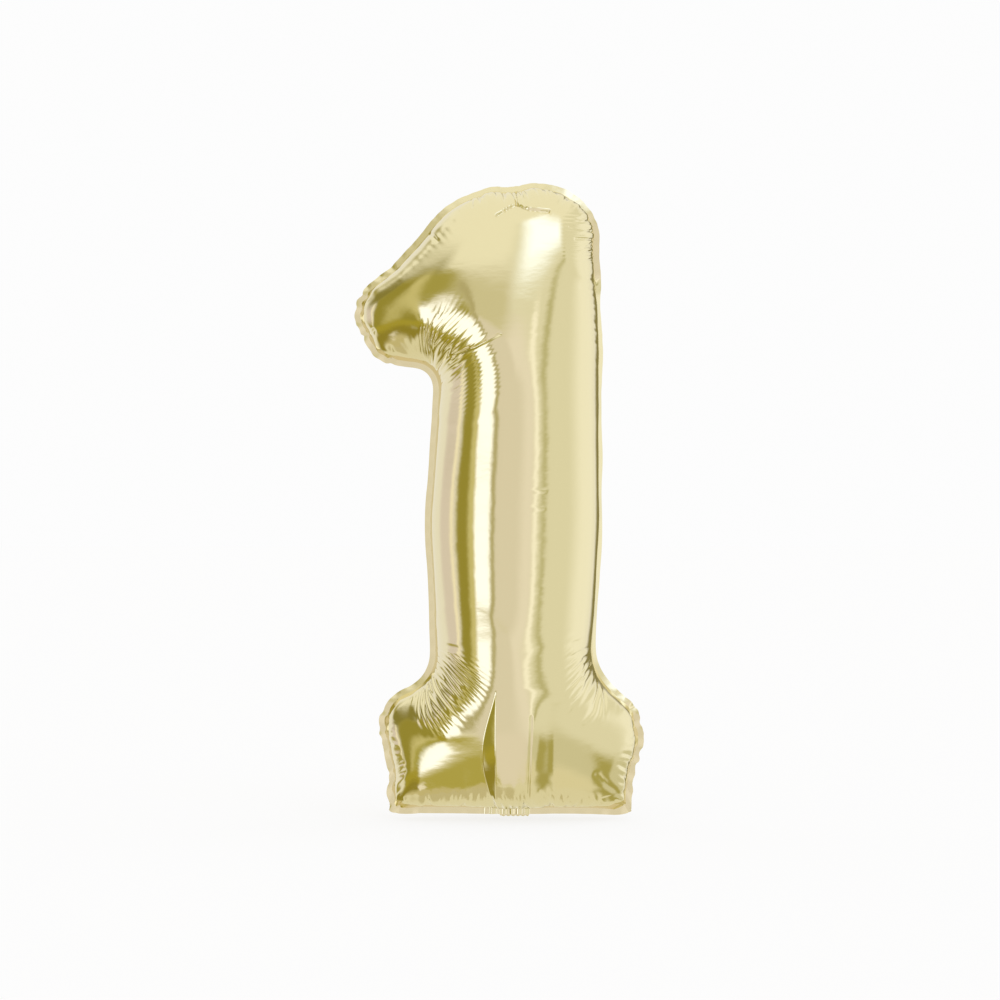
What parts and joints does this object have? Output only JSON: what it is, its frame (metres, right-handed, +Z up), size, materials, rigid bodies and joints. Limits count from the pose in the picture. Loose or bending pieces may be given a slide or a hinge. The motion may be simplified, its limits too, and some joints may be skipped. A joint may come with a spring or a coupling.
{
  "type": "foil number balloon",
  "caption": "Inflated foil digit 1 in pale gold film, with a flat heat-seal flange round its edge, a filler tail folded up behind the base and a self-sealing film valve inside.",
  "frame": {"origin": "centre of the fold line where the filler tail leaves the bottom seam", "axes": "+X to the right of the digit seen from the front, -Y towards the viewer, +Z up; the seam lies in the plane y = 0"},
  "size_m": [0.3947, 0.2378, 0.862],
  "materials": {
    "gold_foil": "mirror-bright metallised film with a pale champagne-gold tint, finely crinkled along the seams",
    "valve_film": "thin translucent polyethylene film"
  },
  "bodies": {
    "digit": {"front_panel": "gold_foil", "back_panel": "gold_foil"},
    "tail": {"tail_front_ply": "gold_foil", "tail_back_ply": "gold_foil", "inlet_front_ply": "valve_film", "inlet_back_ply": "valve_film"},
    "valve_front": {"valve_front_flap": "valve_film"},
    "valve_back": {"valve_back_flap": "valve_film"}
  },
  "joints": [
    {"name": "tail_fold", "type": "hinge", "parent": "digit", "child": "tail", "pos_m": [0, 0, 0], "axis": [1, 0, 0], "range_deg": [-200, 0]},
    {"name": "valve_front_open", "type": "hinge", "parent": "digit", "child": "valve_front", "pos_m": [0, 0, 0.0005], "axis": [1, 0, 0], "range_deg": [0, 2.5], "stiffness_Nm_per_rad": 0.0002},
    {"name": "valve_back_open", "type": "hinge", "parent": "digit", "child": "valve_back", "pos_m": [0, 0, 0.0005], "axis": [1, 0, 0], "range_deg": [-2.5, 0], "stiffness_Nm_per_rad": 0.0002}
  ],
  "couplings": [
    {"joint": "valve_back_open", "follows": "valve_front_open", "ratio": -1}
  ]
}
